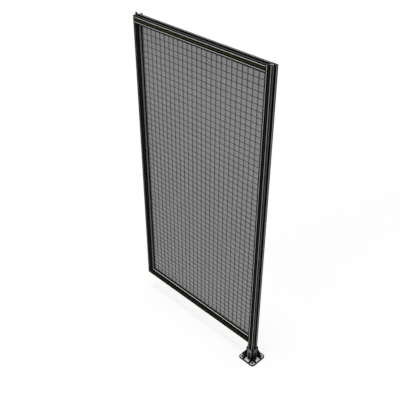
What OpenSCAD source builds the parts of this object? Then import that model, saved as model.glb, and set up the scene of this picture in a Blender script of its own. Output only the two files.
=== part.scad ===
// Machine guard fence panel: a frame of slotted aluminium profile round a wire
// mesh infill, carried by one full-height post in a cast floor foot.
// Millimetres. X runs along the panel, Y through it, Z up.
// Origin: underside of the foot, on the post's axis. The front faces -Y.

/* [Frame] */
// Side of the square slotted profile
profile = 45; // [44:1:60]
// Clear width between the left upright and the post
opening_w = 942; // [300:1:1500]
// Clear height between the bottom rail and the top rail
opening_h = 1856; // [500:1:2200]
// Height of the bottom rail's underside above the floor
ground_gap = 140; // [115:1:300]

/* [Profile section] */
// Width of the slot's mouth
slot_w = 10; // [9.5:0.1:11]
// Thickness of the lips beside the slot's mouth
lip_t = 4.5; // [3.5:0.1:5.5]
// Width of the T groove behind the lips
groove_w = 20; // [18:0.1:21]
// Height of the T groove's straight sides
groove_side = 3; // [2:0.1:4]
// Width of the T groove's floor
groove_floor_w = 8.4; // [7:0.1:10]
// Depth of the T groove below the profile's face
slot_depth = 14.5; // [13.5:0.1:16]
// Diameter of the bore along the profile's core
bore_d = 10; // [8:0.1:11]
// Side of the hollow chamber in each corner
chamber = 6.5; // [4:0.1:7]
// Wall between a corner chamber and the profile's face
chamber_wall = 3.2; // [2.5:0.1:4]
// Radius of the profile's outer corners
corner_r = 1.5; // [0.5:0.1:2.5]

/* [Cover strips] */
// Depth of a strip's face below the profile's face
strip_inset = 0.6; // [0:0.1:1.5]
// Thickness of a strip's face and legs
strip_t = 1.4; // [1:0.1:2]
// Reach of a strip's barbs behind each lip
barb = 0.8; // [0.4:0.1:1.5]

/* [Infill] */
// Distance between neighbouring wires, both ways
mesh_pitch = 36.65; // [30:0.05:60]
// Thickness of the wires
wire_d = 3; // [2.4:0.1:3.2]
// Depth to which crossing wires are welded into each other
weld_depth = 0.3; // [0.1:0.05:0.6]
// Gap from the left upright to the first upright wire
first_wire_x = 9.5; // [4:0.5:30]
// Gap from the bottom rail to the first level wire
first_wire_z = 10; // [4:0.5:30]
// Thickness of the tinted sheet behind the mesh
sheet_t = 2; // [1:0.1:2.2]
// Depth of the infill's edges in the frame's slots
edge_in = 7; // [5:0.5:9]
// Thickness of the gasket's web under the infill's edge
gasket_web = 1.5; // [1:0.1:2.5]

/* [Foot] */
// Side of the foot's base plate
foot_side = 131; // [120:1:180]
// Corner radius of the base plate
foot_corner_r = 21; // [5:1:28]
// Thickness of the base plate
foot_t = 8; // [6:0.5:12]
// Distance of the anchor holes from the base plate's sides
anchor_inset = 21.5; // [15:0.5:24]
// Diameter of the anchor holes
anchor_d = 9; // [6:0.5:12]
// Height of the socket round the post, above the floor
socket_h = 98; // [80:1:110]
// Wall of the socket
socket_wall = 5; // [4:0.5:8]
// Height of the socket's floor, on which the post stands
socket_floor = 16; // [15:0.5:20]
// Thickness of the ribs
rib_t = 6; // [3:0.5:8]
// Height of the ribs where they meet the socket
rib_h = 74; // [30:1:79]
// Height of the ribs and gussets above the base plate at their outer ends
rib_toe = 2; // [1:0.5:6]
// Thickness of the gussets in the middle of the socket's faces
gusset_t = 8; // [4:0.5:12]
// Height of the gussets where they meet the socket
gusset_h = 57; // [30:1:70]
// Reach of the gussets from the socket's faces
gusset_reach = 9; // [4:0.5:20]

/* [Corner pieces] */
// Length of the end tab in the top rail's slot
tab_l = 9; // [6:0.5:15]
// Height of the end tab above the top rail
tab_rise = 13; // [5:0.5:25]
// Width of the joint plate behind the top left joint
joint_plate_w = 14; // [12:0.5:20]
// Thickness of the joint plate
joint_plate_t = 4; // [2:0.5:6]
// Length of the joint plate
joint_plate_l = 90; // [80:1:150]
// Height of the joint plate's end above the top rail
joint_plate_rise = 5; // [0:0.5:15]

/* [Fasteners] */
// Diameter of the joint screws' heads
screw_head_d = 15; // [12:0.5:16]
// Height of the joint screws' heads
screw_head_h = 4.5; // [3:0.1:5]
// Length of the screws in the profile's bore
screw_grip = 26; // [15:1:40]
// Diameter of the wrench holes opposite the joint screws
wrench_d = 7; // [5:0.5:8]
// Diameter of the foot bolt's head
foot_bolt_head_d = 18; // [16:0.5:20]
// Height of the foot bolt's head
foot_bolt_head_h = 8; // [6:0.5:9]

/* [Hidden] */
fit = 0.05;                 // sliding fit of a screw in its bore
slot_fit = 0.1;             // clearance of strips and gaskets in a slot
socket_fit = 0.3;           // clearance of the post in the foot's socket
head_play = 1;              // clearance round the foot bolt's head
bolt_seat = 1;              // foot bolt's head below the plate's underside
rib_setback = 5;            // ribs stop short of the plate's edge
cut = 1;                    // how far a cutting shape runs past a face
bands = 4;                  // pieces in which the mesh is welded up
round_fn = 48;

half = profile / 2;
groove_floor = half - slot_depth;         // groove floor from the profile's axis
lip_back = half - lip_t;                  // back of the lips from the axis

// levels
bottom_rail_z = ground_gap + half;
opening_z = ground_gap + profile;
top_rail_z = opening_z + opening_h + half;
frame_top = opening_z + opening_h + profile;

// places along the panel; the post stands at x = 0
opening_right = -half;
opening_left = opening_right - opening_w;
upright_x = opening_left - half;
frame_left = opening_left - profile;
rail_l = opening_right - frame_left;

// infill stack, centred in the profile's depth: wires in front, sheet behind
mesh_t = 2 * wire_d - weld_depth;
stack_t = mesh_t + sheet_t;
stack_front = -stack_t / 2;
upright_wire_y = stack_front + wire_d / 2;
level_wire_y = upright_wire_y + wire_d - weld_depth;
sheet_y = stack_front + mesh_t;
infill_left = opening_left - edge_in;
infill_right = opening_right + edge_in;
infill_bottom = opening_z - edge_in;
infill_top = opening_z + opening_h + edge_in;
upright_wires = floor((opening_w - first_wire_x) / mesh_pitch) + 1;
level_wires = floor((opening_h - first_wire_z) / mesh_pitch) + 1;
band_rows = ceil(level_wires / bands);
gasket_w = slot_w - 2 * slot_fit;

// foot
socket_side = profile + 2 * (socket_fit + socket_wall);
anchor_at = foot_side / 2 - anchor_inset;
screw_d = bore_d - 2 * fit;

profile_color = [0.42, 0.43, 0.44];
strip_color = [0.36, 0.35, 0.12];
wire_color = [0.16, 0.16, 0.17];
sheet_color = [0.5, 0.5, 0.5];
rubber_color = [0.08, 0.08, 0.08];
foot_color = [0.24, 0.25, 0.26];
screw_color = [0.6, 0.6, 0.62];

// ---- profile section ----

module rounded_square(side, r) {
    square([side - 2 * r, side], center = true);
    square([side, side - 2 * r], center = true);
    for (x = [-1, 1], y = [-1, 1])
        translate([x, y] * (side / 2 - r)) circle(r, $fn = round_fn);
}

// one T slot, opening towards +y
module slot() {
    polygon([
        [-slot_w / 2, half + cut], [-slot_w / 2, lip_back],
        [-groove_w / 2, lip_back], [-groove_w / 2, lip_back - groove_side],
        [-groove_floor_w / 2, groove_floor], [groove_floor_w / 2, groove_floor],
        [groove_w / 2, lip_back - groove_side], [groove_w / 2, lip_back],
        [slot_w / 2, lip_back], [slot_w / 2, half + cut]
    ]);
}

module profile_section() {
    difference() {
        rounded_square(profile, corner_r);
        circle(d = bore_d, $fn = round_fn);
        for (a = [0:90:270]) rotate(a) {
            slot();
            translate([1, 1] * (half - chamber_wall - chamber / 2)) square(chamber, center = true);
        }
    }
}

module profile_bar(length) {
    linear_extrude(length) profile_section();
}

// turns something drawn up the z axis so that it runs along +x from the left end
module along_rail(z) {
    translate([frame_left, 0, z]) rotate([0, 90, 0]) children();
}

// ---- frame members ----

module wrench_hole(direction) {
    rotate(direction) translate([0, 0, -half - cut]) cylinder(h = profile + 2 * cut, d = wrench_d, $fn = round_fn);
}

module post() {
    color(profile_color) difference() {
        translate([0, 0, socket_floor]) profile_bar(frame_top - socket_floor);
        for (z = [bottom_rail_z, top_rail_z]) translate([0, 0, z]) wrench_hole([0, 90, 0]);
    }
}

module left_upright() {
    color(profile_color) translate([upright_x, 0, opening_z]) profile_bar(opening_h);
}

module rail(z) {
    color(profile_color) difference() {
        along_rail(z) profile_bar(rail_l);
        translate([upright_x, 0, z]) wrench_hole([0, 0, 0]);
    }
}

// ---- cover strips ----

// a strip clipped into the mouth of the slot that opens towards +y
module strip_section() {
    face = half - strip_inset;
    outer = slot_w / 2 - slot_fit;
    hook = lip_back - slot_fit;
    polygon([
        [-outer, face], [-outer, hook], [-outer - barb, hook], [-outer, hook - 2 * barb],
        [strip_t - outer, hook - 2 * barb], [strip_t - outer, face - strip_t],
        [outer - strip_t, face - strip_t], [outer - strip_t, hook - 2 * barb],
        [outer, hook - 2 * barb], [outer + barb, hook], [outer, hook], [outer, face]
    ]);
}

// side is -1 for the front of the fence and 1 for the rear
module strip(length, side) {
    color(strip_color) linear_extrude(length) rotate(side < 0 ? 180 : 0) strip_section();
}

module post_strip(side) {
    translate([0, 0, socket_floor]) strip(frame_top - socket_floor, side);
}

module upright_strip(side) {
    translate([upright_x, 0, opening_z]) strip(opening_h, side);
}

module rail_strip(z, side) {
    along_rail(z) strip(rail_l, side);
}

// ---- infill ----

// a straight wire with eight flats, drawn up the z axis
module wire(length) {
    rotate(22.5) cylinder(h = length, d = wire_d / cos(22.5), $fn = 8);
}

// level wires of one band, with the stretch of upright wires that carries them
module mesh_band(band) {
    first_row = band * band_rows;
    last_row = min(level_wires, first_row + band_rows) - 1;
    row_z = opening_z + first_wire_z;
    bottom = band == 0 ? infill_bottom : row_z + (first_row - 0.5) * mesh_pitch;
    top = band == bands - 1 ? infill_top : row_z + (last_row + 0.5) * mesh_pitch;
    color(wire_color) union() {
        for (i = [0:upright_wires - 1])
            translate([opening_left + first_wire_x + i * mesh_pitch, upright_wire_y, bottom])
                wire(top - bottom);
        for (j = [first_row:last_row])
            translate([infill_left, level_wire_y, row_z + j * mesh_pitch])
                rotate([0, 90, 0]) wire(infill_right - infill_left);
    }
}

module tinted_sheet() {
    color(sheet_color) translate([infill_left, sheet_y, infill_bottom])
        cube([infill_right - infill_left, sheet_t, infill_top - infill_bottom]);
}

// channel round the infill's edge: its mouth opens towards +x, its legs stand along x
module gasket_section() {
    difference() {
        translate([-edge_in - gasket_web, -gasket_w / 2]) square([edge_in + gasket_web, gasket_w]);
        translate([-edge_in, -stack_t / 2]) square([edge_in + cut, stack_t]);
    }
}

module left_gasket() {
    color(rubber_color) translate([opening_left, 0, opening_z])
        linear_extrude(opening_h) gasket_section();
}

module right_gasket() {
    color(rubber_color) translate([opening_right, 0, infill_bottom])
        linear_extrude(infill_top - infill_bottom) rotate(180) gasket_section();
}

// gasket in a rail's slot; side is 1 over the bottom rail and -1 under the top rail
module level_gasket(z, side) {
    color(rubber_color) translate([infill_left - gasket_web, 0, z]) rotate([0, 90, 0])
        linear_extrude(opening_right - infill_left + gasket_web)
            rotate(side > 0 ? 180 : 0) gasket_section();
}

module top_gasket() { level_gasket(opening_z + opening_h, -1); }
module bottom_gasket() { level_gasket(opening_z, 1); }

// ---- foot ----

// a web standing on the base plate along +x, from inside the socket's wall out to its toe
module web(thickness, height, toe) {
    face = socket_side / 2;
    root = face - socket_wall / 2;
    translate([0, thickness / 2, 0]) rotate([90, 0, 0]) linear_extrude(thickness)
        polygon([[root, foot_t / 2], [toe, foot_t / 2], [toe, foot_t + rib_toe],
                 [face, height], [root, height]]);
}

module foot() {
    rib_y = socket_side / 2 - rib_t / 2;
    bolt_hole_d = bore_d + head_play;
    color(foot_color) difference() {
        union() {
            linear_extrude(foot_t) rounded_square(foot_side, foot_corner_r);
            translate([-1, -1, 0] * socket_side / 2) cube([socket_side, socket_side, socket_h]);
            for (a = [0:90:270]) rotate(a) {
                for (y = [-rib_y, rib_y])
                    translate([0, y, 0]) web(rib_t, rib_h, foot_side / 2 - rib_setback);
                web(gusset_t, gusset_h, socket_side / 2 + gusset_reach);
            }
        }
        translate([-half - socket_fit, -half - socket_fit, socket_floor])
            cube([profile + 2 * socket_fit, profile + 2 * socket_fit, socket_h]);
        for (x = [-anchor_at, anchor_at], y = [-anchor_at, anchor_at])
            translate([x, y, -cut]) cylinder(h = foot_t + 2 * cut, d = anchor_d, $fn = round_fn);
        translate([0, 0, -cut]) {
            cylinder(h = socket_floor + 2 * cut, d = bolt_hole_d, $fn = round_fn);
            cylinder(h = foot_bolt_head_h + bolt_seat + cut, d = foot_bolt_head_d + head_play,
                     $fn = round_fn);
        }
    }
}

// ---- pieces at the top left corner ----

// block held behind the lips of the top rail's slot, with its tab standing out of the slot
module end_tab() {
    foot_w = groove_w - 2 * slot_fit;
    tab_w = slot_w - 2 * slot_fit;
    foot_z = lip_back - groove_side;
    color(screw_color) translate([frame_left, 0, top_rail_z]) {
        translate([0, -foot_w / 2, foot_z]) cube([tab_l, foot_w, groove_side]);
        translate([0, -tab_w / 2, foot_z]) cube([tab_l, tab_w, half + tab_rise - foot_z]);
    }
}

// flat plate on the rear faces of the top rail and the left upright
module joint_plate() {
    color(screw_color)
        translate([upright_x - joint_plate_w / 2, half, frame_top + joint_plate_rise - joint_plate_l])
            cube([joint_plate_w, joint_plate_t, joint_plate_l]);
}

// ---- fasteners ----

// screw with its head on z = 0 downwards and its shank up along +z
module headed_screw(head_d, head_h, shank_l) {
    color(screw_color) {
        translate([0, 0, -head_h]) cylinder(h = head_h, d = head_d, $fn = round_fn);
        translate([0, 0, -fit]) cylinder(h = shank_l + fit, d = screw_d, $fn = round_fn);
    }
}

module foot_bolt() {
    seat = foot_bolt_head_h + bolt_seat;
    translate([0, 0, seat]) headed_screw(foot_bolt_head_d, foot_bolt_head_h, socket_floor - seat + screw_grip);
}

// joint screw: head behind the lips of one profile, shank in the bore of the next
module joint_screw() {
    translate([0, 0, lip_back]) headed_screw(screw_head_d, screw_head_h, lip_t + screw_grip);
}

module top_left_screw() { translate([upright_x, 0, top_rail_z]) rotate([180, 0, 0]) joint_screw(); }
module bottom_left_screw() { translate([upright_x, 0, bottom_rail_z]) joint_screw(); }
module top_right_screw() { translate([0, 0, top_rail_z]) rotate([0, -90, 0]) joint_screw(); }
module bottom_right_screw() { translate([0, 0, bottom_rail_z]) rotate([0, -90, 0]) joint_screw(); }

post();
left_upright();
rail(top_rail_z);  // top_rail
rail(bottom_rail_z);  // bottom_rail
post_strip(-1);  // post_front_strip
upright_strip(-1);  // left_upright_front_strip
rail_strip(top_rail_z, -1);  // top_rail_front_strip
rail_strip(bottom_rail_z, -1);  // bottom_rail_front_strip
post_strip(1);  // post_rear_strip
upright_strip(1);  // left_upright_rear_strip
rail_strip(top_rail_z, 1);  // top_rail_rear_strip
rail_strip(bottom_rail_z, 1);  // bottom_rail_rear_strip
mesh_band(0);  // mesh_band_1
mesh_band(1);  // mesh_band_2
mesh_band(2);  // mesh_band_3
mesh_band(3);  // mesh_band_4
tinted_sheet();
left_gasket();
right_gasket();
top_gasket();
bottom_gasket();
foot();
foot_bolt();
end_tab();
joint_plate();
top_left_screw();
bottom_left_screw();
top_right_screw();
bottom_right_screw();
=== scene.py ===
import math

import bmesh
import bpy
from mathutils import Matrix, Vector


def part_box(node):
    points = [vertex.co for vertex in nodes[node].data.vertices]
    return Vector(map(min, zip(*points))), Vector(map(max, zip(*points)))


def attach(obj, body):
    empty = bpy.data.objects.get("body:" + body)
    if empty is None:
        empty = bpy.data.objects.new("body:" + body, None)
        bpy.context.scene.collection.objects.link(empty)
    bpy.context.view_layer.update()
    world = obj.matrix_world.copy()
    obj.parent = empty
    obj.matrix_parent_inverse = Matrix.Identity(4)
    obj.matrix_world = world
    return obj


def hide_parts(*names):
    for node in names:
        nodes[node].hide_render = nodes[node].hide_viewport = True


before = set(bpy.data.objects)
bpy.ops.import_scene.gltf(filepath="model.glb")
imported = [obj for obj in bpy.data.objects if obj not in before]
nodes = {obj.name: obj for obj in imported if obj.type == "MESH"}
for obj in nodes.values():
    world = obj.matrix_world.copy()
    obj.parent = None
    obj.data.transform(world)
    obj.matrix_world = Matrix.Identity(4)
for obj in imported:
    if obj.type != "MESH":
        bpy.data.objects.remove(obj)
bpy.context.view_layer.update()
scene = bpy.context.scene
mm = 0.001
print("frame loaded:", len(nodes), "nodes")


class Level:
    # a node's value that takes part in sums like a number

    def __init__(self, wiring, socket):
        self.wiring = wiring
        self.socket = socket

    def __add__(self, other):
        return self.wiring.sum("ADD", self, other)

    def __radd__(self, other):
        return self.wiring.sum("ADD", other, self)

    def __sub__(self, other):
        return self.wiring.sum("SUBTRACT", self, other)

    def __rsub__(self, other):
        return self.wiring.sum("SUBTRACT", other, self)

    def __mul__(self, other):
        return self.wiring.sum("MULTIPLY", self, other)

    def __rmul__(self, other):
        return self.wiring.sum("MULTIPLY", other, self)

    def __abs__(self):
        return self.wiring.sum("ABSOLUTE", self)

    def most(self, other):
        return self.wiring.sum("MAXIMUM", self, other)

    def least(self, other):
        return self.wiring.sum("MINIMUM", self, other)

    # 0 below the edge and 1 above it, with a soft step of that width
    def above(self, edge, width):
        return self.wiring.add("ShaderNodeMapRange", {"interpolation_type": "SMOOTHSTEP"},
                               {0: self, 1: edge - width / 2, 2: edge + width / 2})

    def below(self, edge, width):
        return 1 - self.above(edge, width)


class Wiring:
    # a node tree that is filled from expressions

    def __init__(self, tree):
        self.tree = tree

    def put(self, socket, value):
        if isinstance(value, Level):
            self.tree.links.new(value.socket, socket)
        else:
            socket.default_value = value

    # any node: its settings first, then the values or links of its sockets
    def node(self, kind, settings, values):
        made = self.tree.nodes.new(kind)
        for name, value in settings.items():
            setattr(made, name, value)
        for name, value in values.items():
            self.put(made.inputs[name], value)
        return made

    def add(self, kind, settings, values, output=0):
        return Level(self, self.node(kind, settings, values).outputs[output])

    def sum(self, operation, *values):
        return self.add("ShaderNodeMath", {"operation": operation}, dict(enumerate(values)))


class Shading(Wiring):
    # the nodes of a material or of the world

    def __init__(self, owner):
        owner.use_nodes = True
        super().__init__(owner.node_tree)
        self.tree.nodes.clear()

    def axes(self, vector):
        apart = self.node("ShaderNodeSeparateXYZ", {}, {0: vector})
        return [Level(self, out) for out in apart.outputs]

    def either(self, share, first, second):
        return self.add("ShaderNodeMixShader", {}, {0: share, 1: first, 2: second})

    # 1 where the camera, a glossy face or a clear one looks, 0 for light on the object
    def lookedAt(self):
        camera, glossy, clear = [self.add("ShaderNodeLightPath", {}, {}, ray) for ray in
                                 ("Is Camera Ray", "Is Glossy Ray", "Is Transmission Ray")]
        return camera.most(glossy).most(clear)


class Finish(Shading):
    # a material whose principled shader is fed by expressions

    def __init__(self, name, **fixed):
        self.material = bpy.data.materials.new(name)
        super().__init__(self.material)
        self.shader = self.node("ShaderNodeBsdfPrincipled", {}, fixed)
        self.node("ShaderNodeOutputMaterial", {}, {"Surface": Level(self, self.shader.outputs[0])})
        place = self.node("ShaderNodeTexCoord", {}, {})
        self.normal = Level(self, place.outputs["Normal"])
        # object coordinates in millimetres
        self.place = self.add("ShaderNodeVectorMath", {"operation": "SCALE"},
                              {0: Level(self, place.outputs["Object"]), "Scale": 1 / mm})

    def feed(self, socket, value):
        self.put(self.shader.inputs[socket], value)

    def blend(self, share, first, second):
        # the Mix node's colours are its inputs 6 and 7 and its output 2
        return self.add("ShaderNodeMix", {"data_type": "RGBA"}, {0: share, 6: first, 7: second}, 2)

    def between(self, share, pair):
        return self.blend(share, grey(pair[0]), grey(pair[1]))

    # noise stretched along the axes: small numbers make long grain
    def noise(self, scale, detail, stretch=(1, 1, 1), rough=0.55):
        place = self.add("ShaderNodeMapping", {}, {"Vector": self.place, "Scale": stretch})
        return self.add("ShaderNodeTexNoise", {},
                        {"Vector": place, "Scale": scale, "Detail": detail, "Roughness": rough})

    def roughen(self, grain, middle, stray):
        self.feed("Roughness", middle + (grain - 0.5) * stray)

    def bump(self, height, strength, distance=0.0002):
        self.feed("Normal", self.add("ShaderNodeBump", {},
                                     {"Height": height, "Strength": strength, "Distance": distance}))


class Pattern(Wiring):
    # a geometry tree that is run on an empty mesh, with the result kept as a plain one

    def __init__(self, name, inputs):
        super().__init__(bpy.data.node_groups.new(name, "GeometryNodeTree"))
        self.socket("Geometry", "Geometry", "OUTPUT")
        self.socket("Geometry", "Geometry")
        for kind, names in inputs.items():
            for inputName in names:
                self.socket(inputName, kind)
        group = self.node("NodeGroupInput", {}, {})
        self.given = {out.name: Level(self, out) for out in group.outputs}

    def socket(self, name, kind, way="INPUT"):
        self.tree.interface.new_socket(name=name, in_out=way, socket_type="NodeSocket" + kind)

    def point(self, x, y, z):
        return self.add("ShaderNodeCombineXYZ", {}, {0: x, 1: y, 2: z})

    def row(self, count, start, step):
        return self.add("GeometryNodeMeshLine", {"mode": "OFFSET"},
                        {"Count": count, "Start Location": start, "Offset": step})

    def repeat(self, points, shape, turn=(0.0, 0.0, 0.0)):
        return self.add("GeometryNodeInstanceOnPoints", {},
                        {"Points": points, "Instance": shape, "Rotation": turn})

    def close(self, shape):
        real = self.add("GeometryNodeRealizeInstances", {}, {0: shape})
        painted = self.add("GeometryNodeSetMaterial", {},
                           {"Geometry": real, "Material": self.given["Material"]})
        self.node("NodeGroupOutput", {}, {0: painted})

    def grow(self, name, values):
        carrier = bpy.data.objects.new(name + "_carrier", bpy.data.meshes.new(name))
        scene.collection.objects.link(carrier)
        modifier = carrier.modifiers.new("grow", "NODES")
        modifier.node_group = self.tree
        for item in self.tree.interface.items_tree:
            if item.in_out == "INPUT" and item.name in values:
                modifier[item.identifier] = values[item.name]
        grown = carrier.evaluated_get(bpy.context.evaluated_depsgraph_get())
        mesh = bpy.data.meshes.new_from_object(grown)
        mesh.name = name
        carrier.modifiers.remove(modifier)
        bpy.data.objects.remove(carrier)
        piece = bpy.data.objects.new(name, mesh)
        scene.collection.objects.link(piece)
        return piece


def grey(level, warm=0.0):
    return (level * (1 + warm), level, level * (1 - warm), 1.0)


def dress(name, finish):
    for slot in nodes[name].material_slots:
        slot.material = finish.material


view = {
    "place": (1.7907, -2.2807, 3.3225),
    "look": (-1.0, 1.0, -1.0),
    "angle": 34.87,             # across the view, degrees
    "farthest": 200.0,
}

lamps = {
    # strength, where it comes from, spread in degrees
    "top": (2.50, (-0.02, -0.06, 1.0), 20.0),
    "front": (0.90, (-0.10, -0.95, 0.30), 30.0),
    "rear": (0.45, (0.25, 0.90, 0.35), 30.0),
}

skyLook = {
    "sky": 0.12,                # light from all round
    "backdrop": 1.0,            # what the camera and glossy faces see
}

floorLook = {
    "size": 60.0,
    "drop": 0.0002,             # how far it lies under the foot
    "lit": 0.22,                # what it throws back on to the object
    "seen": 0.95,               # what the camera and glossy faces see
    "pale": 0.86,               # share of plain white laid over that
    "shade": 0.03,              # painted shade under the foot, seen through its holes
    "shadeReach": 0.058,
    "shadeSoft": 0.004,
}


def makeCamera():
    data = bpy.data.cameras.new("camera")
    data.sensor_fit = "HORIZONTAL"
    data.angle = math.radians(view["angle"])
    data.clip_end = view["farthest"]
    camera = bpy.data.objects.new("camera", data)
    scene.collection.objects.link(camera)
    camera.location = view["place"]
    camera.rotation_euler = Vector(view["look"]).to_track_quat("-Z", "Y").to_euler()
    scene.camera = camera


def makeSky():
    scene.world = bpy.data.worlds.new("studio")
    sky = Shading(scene.world)
    lit, seen = [sky.add("ShaderNodeBackground", {}, {"Color": grey(1.0), "Strength": skyLook[name]})
                 for name in ("sky", "backdrop")]
    sky.node("ShaderNodeOutputWorld", {}, {"Surface": sky.either(sky.lookedAt(), lit, seen)})


def makeLamps():
    for name, (strength, comesFrom, spread) in lamps.items():
        data = bpy.data.lights.new(name, "SUN")
        data.energy = strength
        data.angle = math.radians(spread)
        lamp = bpy.data.objects.new(name, data)
        scene.collection.objects.link(lamp)
        lamp.rotation_euler = Vector(comesFrom).to_track_quat("Z", "Y").to_euler()


def floorMaterial():
    material = bpy.data.materials.new("floor")
    floor = Shading(material)
    lit, seen, shade = [floor.add("ShaderNodeBsdfDiffuse", {}, {"Color": grey(floorLook[name])})
                        for name in ("lit", "seen", "shade")]
    white = floor.add("ShaderNodeEmission", {}, {})
    x, y, z = floor.axes(floor.add("ShaderNodeTexCoord", {}, {}, "Object"))
    # under the foot the floor is painted with shade, so its holes look dark
    clear = abs(x).most(abs(y)).above(floorLook["shadeReach"], floorLook["shadeSoft"])
    pale = floor.either(clear, shade, floor.either(floorLook["pale"], seen, white))
    floor.node("ShaderNodeOutputMaterial", {},
               {"Surface": floor.either(floor.lookedAt(), lit, pale)})
    return material


def makeFloor():
    half = floorLook["size"] / 2
    corners = [(-half, -half, 0), (half, -half, 0), (half, half, 0), (-half, half, 0)]
    mesh = bpy.data.meshes.new("floor")
    mesh.from_pydata(corners, [], [(0, 1, 2, 3)])
    mesh.materials.append(floorMaterial())
    floor = bpy.data.objects.new("floor", mesh)
    scene.collection.objects.link(floor)
    floor.location.z = -floorLook["drop"]


scene.view_settings.view_transform = "Standard"
makeCamera()
makeSky()
makeLamps()
makeFloor()
print("camera, floor and light set")


# slotted profiles: a black coat, worn to satin in bands beside the slots; in the slots the black also
# stands for painted shade
profileLook = {
    "specular": 0.003,
    "satin": (0.602, 0.798),    # darkest and palest
    "satinWarm": -0.01,
    "drawnShare": 0.7,          # how much of its change is die lines, the rest being cloud
    "coat": (0.003, 0.007),
    "sawn": 0.055,              # cut ends
    "core": 0.90,               # and their core, round the bore
    "coreRadius": 7.5,
    "coreSoft": 1.5,
    "soft": 0.8,                # width over which satin turns to coat, mm
    "skin": (0.25, 0.3),        # how far below the faces satin reaches, and its softness, mm; deeper, in the slots, the black coat is also painted shade
    "turn": 0.2,                # softness of the change from one face to the next, mm
    "drawn": (1.6, 4.0),        # scale and detail of the lines left by the die
    "stretch": 0.012,
    "cloud": (0.012, 3.0),
    "speck": (1.3, 2.0),
    "sawMarks": {"Scale": 0.35, "Distortion": 1.5, "Detail": 2.0},
    "sawCentre": (90.0, 60.0, 40.0),
    "sawShare": 0.4,
    "endOn": (0.7, 0.2),        # how squarely a cut end faces, and how softly that counts
    "metal": (0.2, 0.3),        # of the satin, of the cut ends
    "rough": 0.56,
    "satinRough": 0.08,         # how much smoother the satin is
    "roughStray": 0.10,
    "bump": 0.18,
    "sawHigh": 0.6,             # heights of the saw marks and specks beside the die lines
    "speckHigh": 0.2,
}

# satin bands on the faces along the first axis across the member, then on those along the
# second: each below and above the face's middle, with where it begins and ends in mm from
# there and how much satin is left; then half the width of the strip's olive ridge, and its share
members = {
    "post": {"along": 2, "ridge": (1.0, 0.45),
             "bands": (((11.0, 20.5, 0.32), (7.4, 14.8, 0.72)),
                       ((12.2, 15.9, 0.78), (12.0, 15.9, 0.70)))},
    "left_upright": {"along": 2, "ridge": (1.0, 0.15),
                     "bands": (((6.7, 17.5, 0.78), (6.7, 17.5, 0.78)),
                               ((10.2, 12.8, 0.47), (10.2, 12.8, 0.05)))},
    "top_rail": {"along": 0, "ridge": (1.4, 0.95),
                 "bands": (((11.2, 15.9, 0.80), (11.2, 15.9, 0.88)),
                           ((14.5, 19.0, 0.16), (11.1, 13.2, 0.90)))},
    "bottom_rail": {"along": 0, "ridge": (1.6, 0.90),
                    "bands": (((11.8, 14.8, 0.01), (11.8, 14.8, 0.03)),
                              ((9.0, 14.3, 1.0), (9.0, 14.3, 1.0)))},
}

postLow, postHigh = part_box("post")
profileSide = (postHigh.x - postLow.x) / mm


def memberCentre(name, along):
    low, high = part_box(name)
    middle = (low + high) / 2 / mm
    return [middle[axis] for axis in range(3) if axis != along]


def longGrain(along, share):
    stretch = [1.0, 1.0, 1.0]
    stretch[along] = share
    return stretch


def profileFinish(name, sizes, centre):
    # faces come in two pairs, for each of the two axes across the member
    look = profileLook
    finish = Finish(name, **{"Specular IOR Level": look["specular"]})
    along = sizes["along"]
    place = finish.axes(finish.place)
    first, second = [axis for axis in range(3) if axis != along]
    left, up = place[first] - centre[0], place[second] - centre[1]
    u, v = abs(left), abs(up)
    outer, across = u.most(v), u.least(v)
    looksFirst = (u - v).above(0.0, look["turn"])

    def sided(pair, side):
        return pair[0] + side.above(0.0, look["turn"]) * (pair[1] - pair[0])

    def band(value):
        # its value on this face, and on this side of the face's middle
        onFirst, onSecond = [sided([one[value] for one in pair], side)
                             for pair, side in zip(sizes["bands"], (up, left))]
        return onSecond + looksFirst * (onFirst - onSecond)

    skinDepth, skinSoft = look["skin"]
    # only the outer skin takes satin, so the slots keep the black coat, also as painted shade
    skin = outer.above(profileSide / 2 - skinDepth, skinSoft)
    inBand = (across - band(0)).above(0, look["soft"]) * (across - band(1)).below(0, look["soft"])
    wornAndUnshaded = skin * inBand * band(2)
    endOn = abs(finish.axes(finish.normal)[along]).above(*look["endOn"])

    drawn = finish.noise(*look["drawn"], longGrain(along, look["stretch"]))
    cloud = finish.noise(*look["cloud"])
    speck = finish.noise(*look["speck"])
    darkest, palest = look["satin"]
    streaks = drawn * look["drawnShare"] + cloud * (1 - look["drawnShare"])
    satin = finish.blend(streaks, grey(darkest), grey(palest, look["satinWarm"]))
    tone = finish.blend(wornAndUnshaded, finish.between(drawn, look["coat"]), satin)

    # saw marks on the cut ends, in arcs across the section
    fromCentre = finish.add("ShaderNodeVectorMath", {"operation": "ADD"},
                            {0: finish.place, 1: look["sawCentre"]})
    marks = finish.add("ShaderNodeTexWave", {"wave_type": "RINGS", "rings_direction": "SPHERICAL"},
                       {"Vector": fromCentre, **look["sawMarks"]}, "Fac")
    fromMiddle = finish.sum("SQRT", u * u + v * v)
    atCore = fromMiddle.below(look["coreRadius"], look["coreSoft"])
    sawn = finish.between(atCore, (look["sawn"], look["core"]))
    sawn = finish.blend(marks * look["sawShare"], sawn, grey(look["sawn"]))
    finish.feed("Base Color", finish.blend(endOn, tone, sawn))
    finish.feed("Metallic", wornAndUnshaded * look["metal"][0] + endOn * look["metal"][1])
    finish.roughen(drawn, look["rough"] - wornAndUnshaded * look["satinRough"], look["roughStray"])
    height = drawn * (1 - endOn) + marks * endOn * look["sawHigh"] + speck * look["speckHigh"]
    finish.bump(height, look["bump"])
    return finish


for member, sizes in members.items():
    centre = memberCentre(member, sizes["along"])
    dress(member, profileFinish("profile_" + member, sizes, centre))
print("profiles finished")
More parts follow.
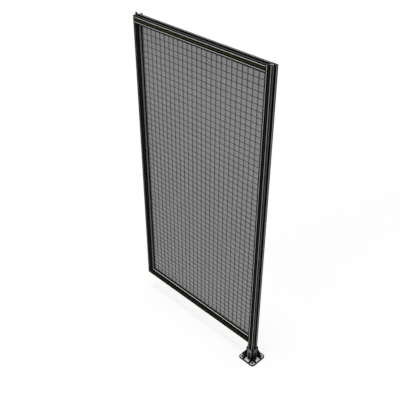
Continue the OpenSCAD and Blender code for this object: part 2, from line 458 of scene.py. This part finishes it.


# cover strips: painted shade, with an olive ridge along the middle
stripLook = {
    "specular": 0.006,
    "olive": (0.125, 0.122, 0.026, 1.0),
    "olivePale": (0.165, 0.160, 0.042, 1.0),
    # painted shade over the strip on either side of its ridge
    "shade": (0.006, 0.006, 0.004, 1.0),
    "cloudShare": 0.6,          # how much of the olive's change is cloud, the rest being grain
    "ridgeSoft": 1.0,           # mm
    "grain": (1.1, 3.0),
    "stretch": 0.02,
    "cloud": (0.02, 3.0),
    "rough": (0.62, 0.2),       # its middle, and how far it strays
    "bump": 0.2,
}


def stripFinish(name, sizes, centre):
    look = stripLook
    finish = Finish(name, **{"Specular IOR Level": look["specular"]})
    along = sizes["along"]
    ridgeHalf, ridgeShare = sizes["ridge"]
    place = finish.axes(finish.place)
    if along == 0:
        across = abs(place[2] - centre[1])
    else:
        across = abs(place[0] - centre[0])
    ridge = across.below(ridgeHalf, look["ridgeSoft"]) * ridgeShare
    grain = finish.noise(*look["grain"], longGrain(along, look["stretch"]))
    cloud = finish.noise(*look["cloud"])
    change = cloud * look["cloudShare"] + grain * (1 - look["cloudShare"])
    olive = finish.blend(change, look["olive"], look["olivePale"])
    finish.feed("Base Color", finish.blend(ridge, look["shade"], olive))
    finish.roughen(grain, *look["rough"])
    finish.bump(grain, look["bump"])
    return finish


for member, sizes in members.items():
    centre = memberCentre(member, sizes["along"])
    strip = stripFinish("strip_" + member, sizes, centre)
    for side in ("front", "rear"):
        dress(member + "_" + side + "_strip", strip)
print("strips finished")


# welded mesh: uprights in front, level wires behind them
meshSizes = {
    "pitch": 36.65,
    "wire": 3.0,
    "weldDepth": 0.3,           # how far one wire sinks into the other
    "firstX": 9.5,              # first wires from the opening's left and bottom edges
    "firstZ": 10.0,
    "sides": 12,
    "beadWide": 4.3,
    "beadThick": 2.6,
    "beadSegments": 8,
    "beadRings": 5,
}

wireLook = {
    "specular": 0.35,
    "tone": (0.055, 0.085),
    "dust": (0.14, 0.05),       # tone and warmth
    "dustShare": 0.4,
    "dustOn": (0.55, 0.7),      # how far up a face looks to hold dust, and how softly
    "grain": (2.6, 3.0),
    "cloud": (0.02, 4.0),
    "rough": (0.46, 0.25),
    "bump": (0.35, 0.00012),
}


def meshPattern():
    # two rows of wires over a common grid, with a bead where they cross
    pattern = Pattern("weldedMesh", {
        "Int": ("Upright Wires", "Level Wires", "Sides"),
        "Float": ("Pitch", "Radius", "Upright Y", "Level Y", "First X", "First Z", "Left", "Right",
                  "Bottom", "Top", "Bead Width", "Bead Thickness"),
        "Material": ("Material",),
    })
    given, point = pattern.given, pattern.point

    def wire(length, turn):
        rod = pattern.node("GeometryNodeMeshCylinder", {},
                           {"Vertices": given["Sides"], "Radius": given["Radius"], "Depth": length})
        whole, side = [Level(pattern, rod.outputs[name]) for name in ("Mesh", "Side")]
        smooth = pattern.add("GeometryNodeSetShadeSmooth", {}, {"Geometry": whole, "Selection": side})
        return pattern.add("GeometryNodeTransform", {}, {"Geometry": smooth, "Rotation": turn})

    middleZ = (given["Bottom"] + given["Top"]) * 0.5
    middleX = (given["Left"] + given["Right"]) * 0.5
    sideways = point(given["Pitch"], 0.0, 0.0)
    upwards = point(0.0, 0.0, given["Pitch"])
    uprights = pattern.repeat(
        pattern.row(given["Upright Wires"], point(given["First X"], given["Upright Y"], middleZ),
                    sideways),
        wire(given["Top"] - given["Bottom"], (0, 0, 0)))
    levels = pattern.repeat(
        pattern.row(given["Level Wires"], point(middleX, given["Level Y"], given["First Z"]), upwards),
        wire(given["Right"] - given["Left"], (0, math.pi / 2, 0)))

    weldY = (given["Upright Y"] + given["Level Y"]) * 0.5
    ball = pattern.add("GeometryNodeMeshUVSphere", {}, {
        "Segments": meshSizes["beadSegments"], "Rings": meshSizes["beadRings"], "Radius": 0.5})
    flat = pattern.add("GeometryNodeTransform", {}, {
        "Geometry": ball,
        "Scale": point(given["Bead Width"], given["Bead Thickness"], given["Bead Width"])})
    bead = pattern.add("GeometryNodeSetShadeSmooth", {}, {"Geometry": flat})
    firstRow = pattern.row(given["Upright Wires"], point(given["First X"], weldY, given["First Z"]),
                           sideways)
    column = pattern.row(given["Level Wires"], (0.0, 0.0, 0.0), upwards)
    beads = pattern.repeat(firstRow, pattern.repeat(column, bead))

    join = pattern.node("GeometryNodeJoinGeometry", {}, {})
    for part in (uprights, levels, beads):
        pattern.put(join.inputs[0], part)
    pattern.close(Level(pattern, join.outputs[0]))
    return pattern


def wireFinish():
    look = wireLook
    finish = Finish("mesh_wire", **{"Specular IOR Level": look["specular"]})
    grain = finish.noise(*look["grain"])
    cloud = finish.noise(*look["cloud"])
    dust = finish.axes(finish.normal)[2].above(*look["dustOn"]) * cloud
    tone = finish.between(cloud, look["tone"])
    finish.feed("Base Color", finish.blend(dust * look["dustShare"], tone, grey(*look["dust"])))
    finish.roughen(grain, *look["rough"])
    finish.bump(grain, *look["bump"])
    return finish


bandNames = ["mesh_band_%d" % band for band in (1, 2, 3, 4)]
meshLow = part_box(bandNames[0])[0]
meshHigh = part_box(bandNames[-1])[1]
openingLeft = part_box("left_upright")[1].x
openingRight = postLow.x
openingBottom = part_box("bottom_rail")[1].z
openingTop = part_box("top_rail")[0].z
pitch = meshSizes["pitch"] * mm
wireRadius = meshSizes["wire"] * mm / 2
uprightY = meshLow.y + wireRadius
meshPiece = meshPattern().grow("welded_mesh", {
    "Upright Wires": int((openingRight - openingLeft - meshSizes["firstX"] * mm) / pitch) + 1,
    "Level Wires": int((openingTop - openingBottom - meshSizes["firstZ"] * mm) / pitch) + 1,
    "Sides": meshSizes["sides"],
    "Pitch": pitch,
    "Radius": wireRadius,
    "Upright Y": uprightY,
    "Level Y": uprightY + (meshSizes["wire"] - meshSizes["weldDepth"]) * mm,
    "First X": openingLeft + meshSizes["firstX"] * mm,
    "First Z": openingBottom + meshSizes["firstZ"] * mm,
    "Left": meshLow.x,
    "Right": meshHigh.x,
    "Bottom": meshLow.z,
    "Top": meshHigh.z,
    "Bead Width": meshSizes["beadWide"] * mm,
    "Bead Thickness": meshSizes["beadThick"] * mm,
    "Material": wireFinish().material,
})
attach(meshPiece, "root")
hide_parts(*bandNames)
print("mesh welded:", len(meshPiece.data.polygons), "faces")


# grey sheet behind the wires, and the rubber that holds its edges
sheetLook = {
    "specular": 0.25,
    "bend": 1.49,               # index of refraction
    "tone": (0.455, 0.495),
    "edge": 0.004,              # painted shade: a black band along the frame, where the gaskets shade the sheet
    "edgeWide": 3.5,            # mm
    "edgeSoft": 0.6,
    "cloud": (0.006, 3.0),
    "fine": (0.5, 2.0),
    "rough": (0.34, 0.1),
    "bump": 0.03,
}

rubberLook = {
    "specular": 0.2,
    "tone": (0.012, 0.022),
    "grain": (3.0, 2.0),
    "rough": (0.74, 0.2),
    "bump": 0.3,
}


def sheetFinish():
    look = sheetLook
    finish = Finish("tinted_sheet", **{"Specular IOR Level": look["specular"], "IOR": look["bend"]})
    x, y, z = finish.axes(finish.place)
    inside = (x - openingLeft / mm).least(openingRight / mm - x).least(
        (z - openingBottom / mm).least(openingTop / mm - z))
    # the band along the opening's edges is painted shade
    edge = inside.below(look["edgeWide"], look["edgeSoft"])
    cloud = finish.noise(*look["cloud"])
    fine = finish.noise(*look["fine"])
    plain = finish.between(cloud, look["tone"])
    finish.feed("Base Color", finish.blend(edge, plain, grey(look["edge"])))
    finish.roughen(cloud, *look["rough"])
    finish.bump(fine, look["bump"])
    return finish


def rubberFinish():
    look = rubberLook
    finish = Finish("gasket_rubber", **{"Specular IOR Level": look["specular"]})
    grain = finish.noise(*look["grain"])
    finish.feed("Base Color", finish.between(grain, look["tone"]))
    finish.roughen(grain, *look["rough"])
    finish.bump(grain, look["bump"])
    return finish


dress("tinted_sheet", sheetFinish())
rubber = rubberFinish()
for side in ("left", "right", "top", "bottom"):
    dress(side + "_gasket", rubber)
print("sheet and gaskets finished")


# cast foot: its form softened; pale flats, with painted shade along their edges, round the holes, beside
# the ribs and socket, and on the socket's sides
footSizes = {
    "voxel": 1.15,              # grid on which the edges are softened, mm
    "merge": 1e-6,
    "smoothing": 3,
    "smoothShare": 0.5,
    "keep": 0.45,               # share of the faces kept
    # the foot's form, in mm from its middle
    "plate": 65.5,
    "corner": 21.0,
    "thick": 8.0,
    "anchor": 44.0,
    "hole": 4.5,
    "socket": 27.8,
    "top": 98.0,
    "rib": 6.0,
    "ribReach": 60.5,
    "web": 8.0,
    "webReach": 36.8,
    "webTop": 57.0,
}

footLook = {
    "specular": 0.01,
    # the coat is also the tone of the painted shade along the edges
    "coat": (0.006, 0.016),
    "rimShade": 8.2,             # painted shade kept inside the rim, round the holes, and beside the ribs, mm
    "holeShade": 4.2,
    "ribShade": 4.2,
    "soft": 2.2,
    "paleSide": 0.72,           # tone of the pale flats: beside the ribs, at the holes, on the socket, whose darker sides are painted shade
    "paleCorner": 0.86,
    "socketShade": 0.26,
    "innerShare": 0.35,         # how much of that is left on the inner side of a hole
    "mottle": 0.14,
    "holeSoft": 14.0,
    "cornerSoft": 4.0,
    "faceUp": (0.7, 0.3),       # how far up a flat looks, and how softly that counts; flats that do not look up get the socket's painted shade
    "overPlate": (0.8, 0.4),    # how far past the plate and the socket their flats reach, mm
    "overSocket": (0.6, 0.5),
    "grain": (0.9, 4.0),
    "coarse": (0.12, 3.0),
    "patchy": (1.2, 2.6),       # how far grain and coarse move the worn edges, mm
    "metal": 0.2,
    "rough": 0.62,
    "paleRough": 0.12,          # how much smoother the pale flats are
    "roughStray": 0.2,
    "bump": (0.4, 0.0004),
    "grainHigh": 0.7,
    "coarseHigh": 0.6,
}


def castingFinish():
    size, look = footSizes, footLook
    finish = Finish("foot_casting", **{"Specular IOR Level": look["specular"]})
    x, y, z = finish.axes(finish.place)
    a, b = abs(x), abs(y)
    longer, shorter = a.most(b), a.least(b)

    def length(first, second):
        return finish.sum("SQRT", first * first + second * second)

    # distance of each spot from the nearest edge, on the plate and on the socket
    corner = size["plate"] - size["corner"]
    rim = (size["plate"] - longer).least(
        size["corner"] - length((a - corner).most(0.0), (b - corner).most(0.0)))
    hole = length(a - size["anchor"], b - size["anchor"]) - size["hole"]
    ribMiddle = size["socket"] - size["rib"] / 2
    rib = (abs(shorter - ribMiddle) - size["rib"] / 2).most(longer - size["ribReach"])
    web = (shorter - size["web"] / 2).most(longer - size["webReach"])
    ribs = rib.least(web).least(longer - size["socket"]) - look["ribShade"]
    onPlate = (rim - look["rimShade"]).least(hole - look["holeShade"]).least(ribs)
    overWeb = (shorter - size["web"] / 2).most(z - size["webTop"])
    onSocket = (size["socket"] - size["rib"] - shorter).least(overWeb).least(
        z - size["thick"]).least(size["top"] - z) - look["ribShade"]

    grain = finish.noise(*look["grain"])
    coarse = finish.noise(*look["coarse"])
    patchy = (coarse - 0.5) * look["patchy"][1] + (grain - 0.5) * look["patchy"][0]
    platePast, plateSoft = look["overPlate"]
    wallPast, wallSoft = look["overSocket"]
    up = finish.axes(finish.normal)[2].above(*look["faceUp"])
    low = z.below(size["thick"] + platePast, plateSoft)
    wall = longer.below(size["socket"] + wallPast, wallSoft) * (1 - up)
    # the coat left along the edges, round the holes and beside the ribs and socket is painted shade
    wornAndUnshaded = (up * low * (onPlate + patchy).above(0.0, look["soft"])
            + wall * (onSocket + patchy).above(0.0, look["soft"]))

    # painted light and shade: flats that look up are pale, the socket's upright sides darker
    atCorner = shorter.above(size["socket"], look["cornerSoft"])
    pastHole = (shorter + longer).above(2 * size["anchor"], look["holeSoft"])
    cornerTone = look["paleCorner"] * (look["innerShare"] + (1 - look["innerShare"]) * pastHole)
    onTop = look["paleSide"] + atCorner * (cornerTone - look["paleSide"])
    tone = up * onTop + (1 - up) * look["socketShade"]
    mottled = 1 - look["mottle"] + (grain + coarse) * look["mottle"]
    paleTone = finish.between(tone * mottled, (0.0, 1.0))
    finish.feed("Base Color", finish.blend(wornAndUnshaded, finish.between(coarse, look["coat"]), paleTone))
    finish.feed("Metallic", wornAndUnshaded * look["metal"])
    finish.roughen(grain, look["rough"] - wornAndUnshaded * look["paleRough"], look["roughStray"])
    finish.bump(grain * look["grainHigh"] + coarse * look["coarseHigh"], *look["bump"])
    return finish


def makeCasting():
    mesh = nodes["foot"].data.copy()
    mesh.materials.clear()
    piece = bpy.data.objects.new("casting", mesh)
    scene.collection.objects.link(piece)
    form = bmesh.new()
    form.from_mesh(mesh)
    bmesh.ops.remove_doubles(form, verts=form.verts, dist=footSizes["merge"])
    form.to_mesh(mesh)
    form.free()
    remesh = piece.modifiers.new("soften", "REMESH")
    remesh.mode = "VOXEL"
    remesh.voxel_size = footSizes["voxel"] * mm
    smooth = piece.modifiers.new("smooth", "SMOOTH")
    smooth.factor = footSizes["smoothShare"]
    smooth.iterations = footSizes["smoothing"]
    thin = piece.modifiers.new("thin", "DECIMATE")
    thin.ratio = footSizes["keep"]
    made = bpy.data.meshes.new_from_object(
        piece.evaluated_get(bpy.context.evaluated_depsgraph_get()))
    piece.modifiers.clear()
    piece.data = made
    footLow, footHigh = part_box("foot")
    for vertex in made.vertices:
        vertex.co = [min(max(value, lowest), highest)
                     for value, lowest, highest in zip(vertex.co, footLow, footHigh)]
    made.shade_smooth()
    made.materials.clear()
    made.materials.append(castingFinish().material)
    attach(piece, "root")
    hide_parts("foot")
    print("casting softened:", len(made.polygons), "faces")


makeCasting()


# screws, bolt, end tab and joint plate
steelLook = {
    "specular": 0.4,
    "tone": (0.03, 0.055),
    "metal": 0.4,
    "grain": (1.2, 3.0),
    "cloud": (0.08, 3.0),
    "rough": (0.42, 0.25),
    "bump": 0.15,
}

headSizes = {
    "across": 10.5,             # button head, mm
    "high": 3.3,
    "socket": 4.0,              # across the flats
    "deep": 2.0,
    "socketEdge": (0.75, 0.15),           # width and depth of the bevel round the socket
    "domeSteps": (0.35, 0.6, 0.8, 0.93),  # rings over the dome, as shares of the way out
    "domePower": 2.6,
    "brim": 0.35,               # upright edge under the dome
    "washer": 12.4,
    "washerThick": 1.0,
    "washerBevel": 0.2,
    "turns": 24,
    "sunk": 0.05,               # into the plate
    "inset": 1.5,               # how much closer the two stand than a profile's side
    "sharp": 35.0,              # edges over this angle stay sharp, degrees
}


def steelFinish():
    look = steelLook
    finish = Finish("screw_steel", **{"Specular IOR Level": look["specular"]})
    grain = finish.noise(*look["grain"])
    cloud = finish.noise(*look["cloud"])
    finish.feed("Base Color", finish.between(cloud, look["tone"]))
    finish.feed("Metallic", look["metal"])
    finish.roughen(grain, *look["rough"])
    finish.bump(grain, look["bump"])
    return finish


def makeButtonHead():
    # rings from the bottom of the hexagon socket out over the dome and down to the washer
    size = headSizes
    turns = size["turns"]
    sector = math.pi / 3
    angles = [turn * math.tau / turns for turn in range(turns)]
    across, washer = size["across"] / 2, size["washer"] / 2
    base, bevel = size["washerThick"], size["washerBevel"]
    top = base + size["high"]
    edgeWide, edgeDeep = size["socketEdge"]
    rounded = size["socket"] / 2 + edgeWide
    hexagon = [size["socket"] / 2 / math.cos((angle + sector / 2) % sector - sector / 2)
               for angle in angles]

    def circle(radius):
        return [radius] * turns

    rings = [(hexagon, top - size["deep"]), (hexagon, top - edgeDeep), (circle(rounded), top)]
    for step in size["domeSteps"]:
        rings.append((circle(across * step + rounded * (1 - step)),
                      base + size["high"] * (1 - step ** size["domePower"])))
    rings += [(circle(across), base + size["brim"]), (circle(across), base),
              (circle(washer - bevel), base), (circle(washer), base - bevel), (circle(washer), 0.0)]

    shape = bmesh.new()
    loops = [[shape.verts.new((radius * math.cos(angle) * mm, radius * math.sin(angle) * mm, height * mm))
              for radius, angle in zip(radii, angles)] for radii, height in rings]
    shape.faces.new(loops[0])
    for inner, outer in zip(loops, loops[1:]):
        for turn in range(turns):
            after = (turn + 1) % turns
            shape.faces.new((inner[turn], outer[turn], outer[after], inner[after]))
    shape.faces.new(reversed(loops[-1]))
    bmesh.ops.recalc_face_normals(shape, faces=shape.faces)
    mesh = bpy.data.meshes.new("button_head")
    shape.to_mesh(mesh)
    shape.free()
    head = bpy.data.objects.new("button_head", mesh)
    scene.collection.objects.link(head)
    return head


def headPattern():
    pattern = Pattern("screwHeads", {
        "Int": ("Count",),
        "Vector": ("First", "Step", "Turn"),
        "Object": ("Head",),
        "Material": ("Material",),
    })
    given = pattern.given
    head = pattern.add("GeometryNodeObjectInfo", {}, {"Object": given["Head"]}, "Geometry")
    places = pattern.row(given["Count"], given["First"], given["Step"])
    pattern.close(pattern.repeat(places, head, given["Turn"]))
    return pattern


steel = steelFinish()
for name in ("foot_bolt", "end_tab", "joint_plate", "top_left_screw", "bottom_left_screw",
             "top_right_screw", "bottom_right_screw"):
    dress(name, steel)

# two screws hold the joint plate, one in the rail and one in the upright
plateLow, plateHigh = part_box("joint_plate")
railLow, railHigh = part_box("top_rail")
head = makeButtonHead()
plateScrews = headPattern().grow("plate_screws", {
    "Count": 2,
    "First": ((plateLow.x + plateHigh.x) / 2, plateHigh.y - headSizes["sunk"] * mm,
              (railLow.z + railHigh.z) / 2),
    "Step": (0.0, 0.0, railLow.z - railHigh.z + headSizes["inset"] * mm),
    "Turn": (-math.pi / 2, 0.0, 0.0),
    "Head": head,
    "Material": steel.material,
})
bpy.data.objects.remove(head)
plateScrews.data.shade_smooth()
plateScrews.data.set_sharp_from_angle(angle=math.radians(headSizes["sharp"]))
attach(plateScrews, "root")
print("steel finished")
